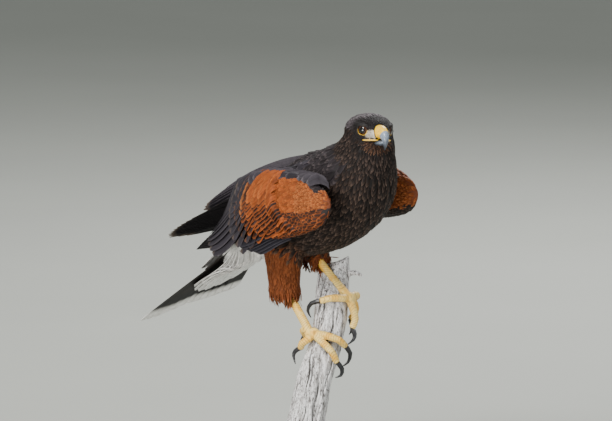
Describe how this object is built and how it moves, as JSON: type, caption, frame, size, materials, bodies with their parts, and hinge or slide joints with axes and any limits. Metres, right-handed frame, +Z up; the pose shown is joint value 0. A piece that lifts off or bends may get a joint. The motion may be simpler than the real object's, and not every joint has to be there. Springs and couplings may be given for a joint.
{
  "type": "harris hawk",
  "caption": "Still life-size harris hawk with folded wings, gripping a cut length of dead branch held on a plain round display stand.",
  "frame": {"origin": "centre of the underside of the display stand's base", "axes": "+Z up; the bird's trunk points about 46 degrees from +X towards -Y, and its face about 65 degrees"},
  "size_m": [0.342, 0.3993, 0.4724],
  "materials": {
    "dark_plumage": "matte",
    "rufous_plumage": "matte",
    "yellow_skin": "satin",
    "claw_horn": "gloss",
    "bill_horn": "satin",
    "eye_dark": "gloss",
    "grey_wood": "rough",
    "stand_wood": "satin",
    "rod_metal": "brushed"
  },
  "bodies": {
    "root": {"torso": "dark_plumage", "neck": "dark_plumage", "head": "dark_plumage", "tail": "dark_plumage", "right_wing": "rufous_plumage", "left_wing": "rufous_plumage", "right_thigh": "rufous_plumage", "left_thigh": "rufous_plumage", "cere": "yellow_skin", "upper_bill": "bill_horn", "lower_bill": "bill_horn", "eye_right": "eye_dark", "eye_left": "eye_dark", "perch_branch": "grey_wood", "stand_base": "stand_wood", "stand_rod": "rod_metal", "right_shank": "yellow_skin", "right_toe_inner": "yellow_skin", "right_claw_inner": "claw_horn", "right_toe_middle": "yellow_skin", "right_claw_middle": "claw_horn", "right_toe_outer": "yellow_skin", "right_claw_outer": "claw_horn", "right_toe_hind": "yellow_skin", "right_claw_hind": "claw_horn", "left_shank": "yellow_skin", "left_toe_inner": "yellow_skin", "left_claw_inner": "claw_horn", "left_toe_middle": "yellow_skin", "left_claw_middle": "claw_horn", "left_toe_outer": "yellow_skin", "left_claw_outer": "claw_horn", "left_toe_hind": "yellow_skin", "left_claw_hind": "claw_horn"}
  },
  "joints": []
}
